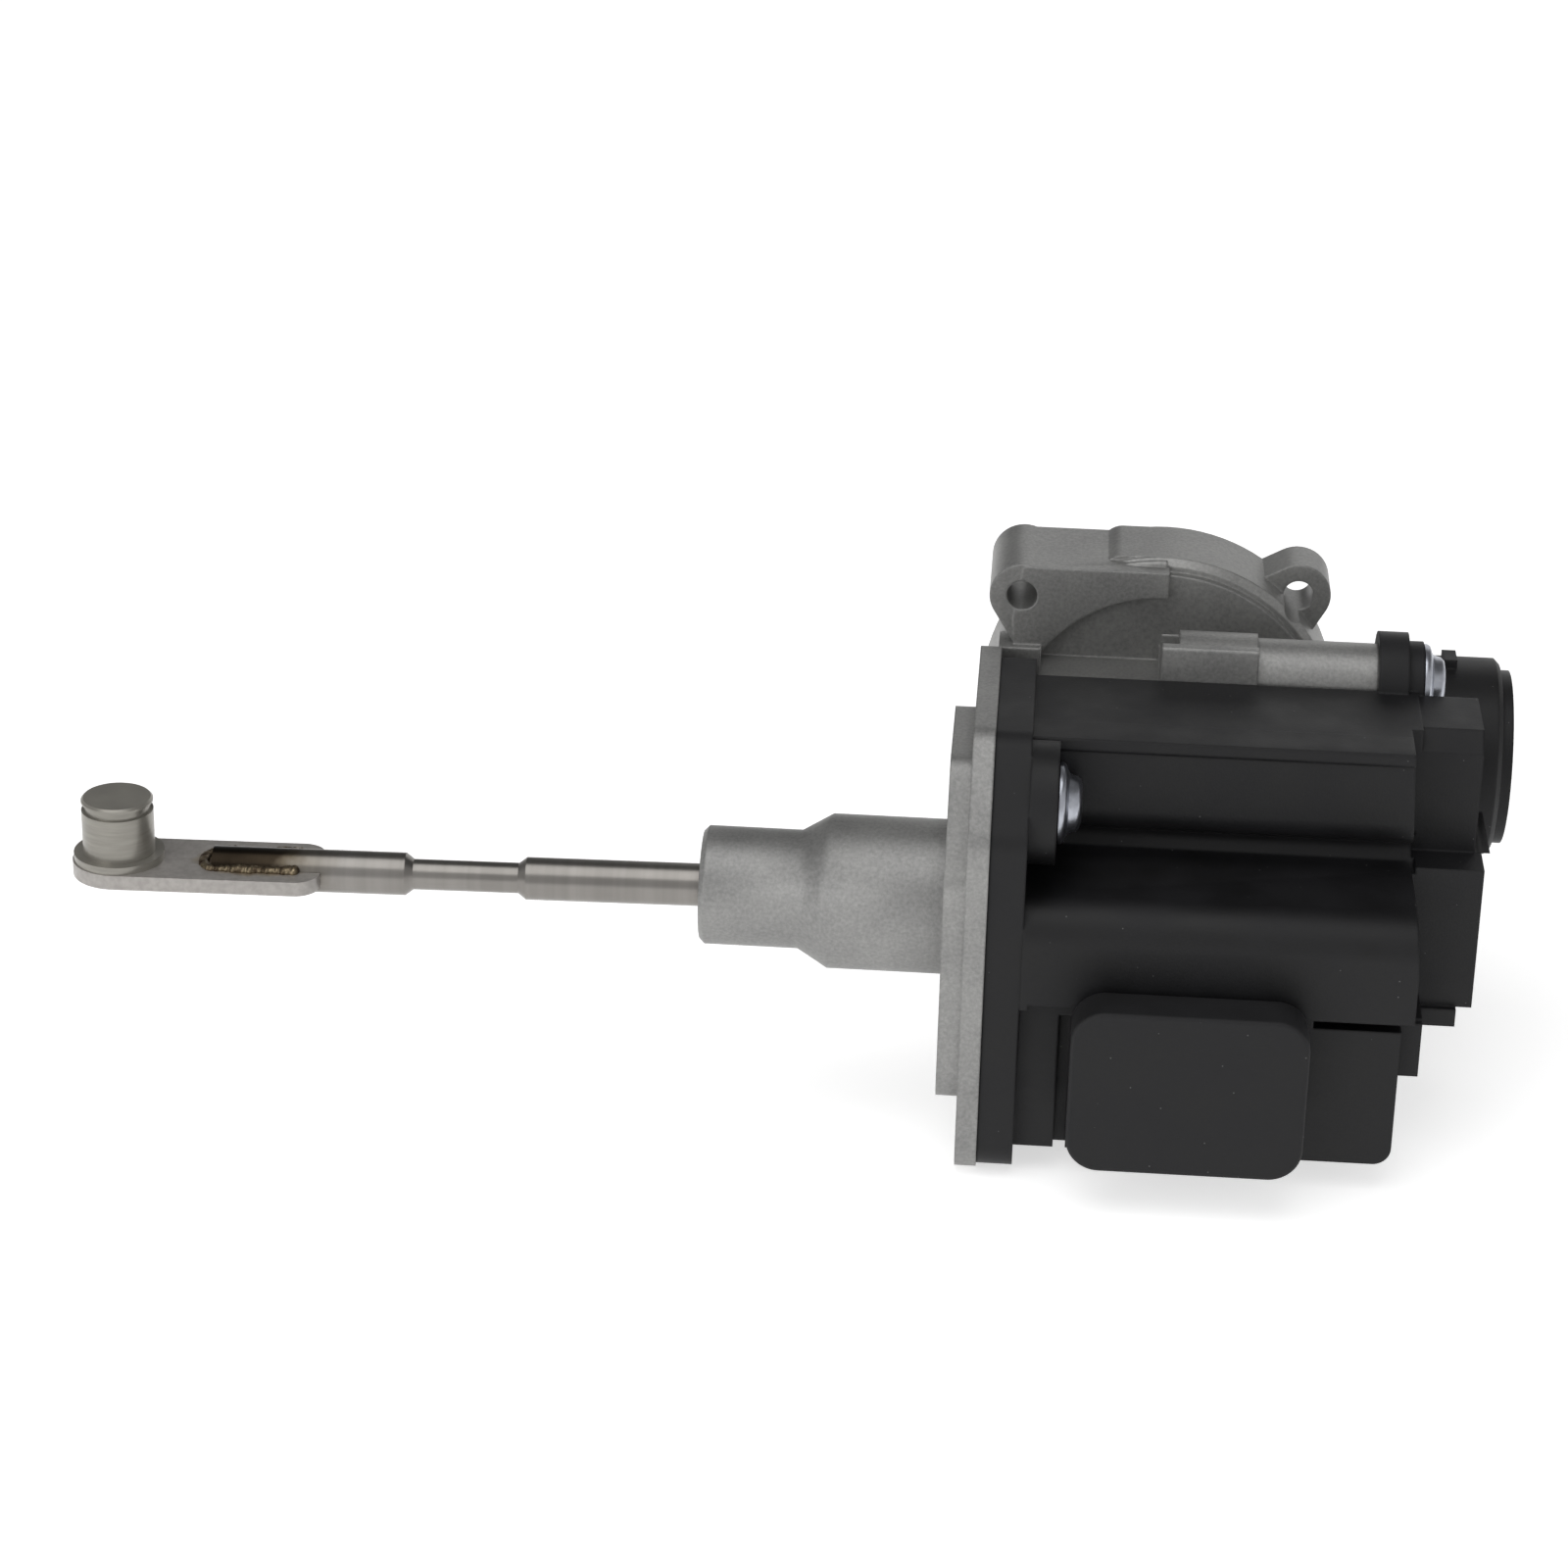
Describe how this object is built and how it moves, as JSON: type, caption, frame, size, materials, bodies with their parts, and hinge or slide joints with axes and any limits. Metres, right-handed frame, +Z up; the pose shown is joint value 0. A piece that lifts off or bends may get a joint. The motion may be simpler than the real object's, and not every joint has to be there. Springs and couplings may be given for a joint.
{
  "type": "wastegate actuator",
  "caption": "Electric wastegate actuator: cast housing with motor and gears, black cover with a capped connector, and a push rod ending in a link plate and pin",
  "frame": {"origin": "middle of the two upper mounting holes, on the rear mounting face", "axes": "+X along the push rod from the link towards the casing, +Y out of the mounting face towards the engine, +Z up, parallel to the link pin"},
  "size_m": [0.2016, 0.0801, 0.0708],
  "materials": {
    "cast_aluminium": "as-cast, grainy, matt grey",
    "cover_moulding": "glass-filled nylon, fine matt grain",
    "cap_moulding": "soft matt moulding",
    "inner_moulding": "moulded, natural",
    "plated_screw": "bright zinc plate",
    "turned_steel": "turned stainless, tinted near the weld",
    "ground_steel": "ground pin and stamped plate",
    "weld_metal": "dark heat-tinted weld",
    "bronze": "sintered bronze and brass",
    "copper_wire": "enamelled copper wire",
    "magnet": "ferrite, dark grey",
    "carbon": "carbon brush",
    "board": "circuit board",
    "seal_rubber": "moulded rubber"
  },
  "bodies": {
    "casting": {"housing": "cast_aluminium", "cover": "cover_moulding", "connector_terminals": "bronze", "cover_screw_1": "plated_screw", "cover_screw_2": "plated_screw", "lug_screw": "plated_screw", "cover_sleeve_1": "bronze", "cover_sleeve_2": "bronze", "lug_sleeve": "bronze", "motor_can": "plated_screw", "motor_front_bush": "bronze", "motor_rear_bush": "bronze", "brush_card": "inner_moulding", "motor_brush_1": "carbon", "motor_brush_2": "carbon", "motor_magnet_1": "magnet", "motor_magnet_2": "magnet", "motor_end_cap": "cover_moulding", "end_cap_seal": "seal_rubber", "idler_axle": "turned_steel", "bearing_outer_ring": "ground_steel", "bearing_circlip": "ground_steel", "guide_bush": "bronze", "rod_seal": "seal_rubber", "sensor_board": "board", "hall_sensor": "board"},
    "armature": {"motor_shaft": "turned_steel", "armature_core": "ground_steel", "armature_windings": "copper_wire", "commutator": "bronze", "motor_pinion": "ground_steel"},
    "idler": {"idler_gear": "inner_moulding"},
    "output": {"output_gear": "inner_moulding", "spindle_nut": "bronze", "bearing_inner_ring": "ground_steel", "bearing_balls": "ground_steel"},
    "spindle_set": {"spindle": "turned_steel", "socket_ring": "turned_steel", "magnet_carrier": "inner_moulding", "position_magnet": "magnet"},
    "rod_set": {"push_rod": "turned_steel", "link_plate": "ground_steel", "link_pin": "ground_steel", "weld_beads": "weld_metal"},
    "cap": {"dust_cap": "cap_moulding"}
  },
  "joints": [
    {"name": "motor_spin", "type": "hinge", "parent": "casting", "child": "armature", "pos_m": [-0.02245, -0.0153, -0.02149], "axis": [1, 0, 0], "range_deg": [-865, 1210]},
    {"name": "idler_spin", "type": "hinge", "parent": "casting", "child": "idler", "pos_m": [-0.02245, -0.03383, -0.03025], "axis": [1, 0, 0], "range_deg": [-391, 280]},
    {"name": "output_spin", "type": "hinge", "parent": "casting", "child": "output", "pos_m": [-0.02245, -0.05383, -0.03025], "axis": [1, 0, 0], "range_deg": [-151, 211]},
    {"name": "rod_slide", "type": "slide", "parent": "casting", "child": "spindle_set", "axis": [1, 0, 0], "range_m": [-0.005, 0.007]},
    {"name": "rod_swing", "type": "hinge", "parent": "spindle_set", "child": "rod_set", "pos_m": [-0.05395, -0.05383, -0.03025], "axis": [0, 0, 1], "range_deg": [-4.9, 1.1]},
    {"name": "cap_pull", "type": "slide", "parent": "casting", "child": "cap", "axis": [0, -1, 0], "range_m": [0, 0.04]}
  ],
  "couplings": [
    {"joint": "output_spin", "follows": "rod_slide", "rad_per_m": 523.6},
    {"joint": "idler_spin", "follows": "rod_slide", "rad_per_m": -972.4},
    {"joint": "motor_spin", "follows": "rod_slide", "rad_per_m": 3014.4}
  ]
}
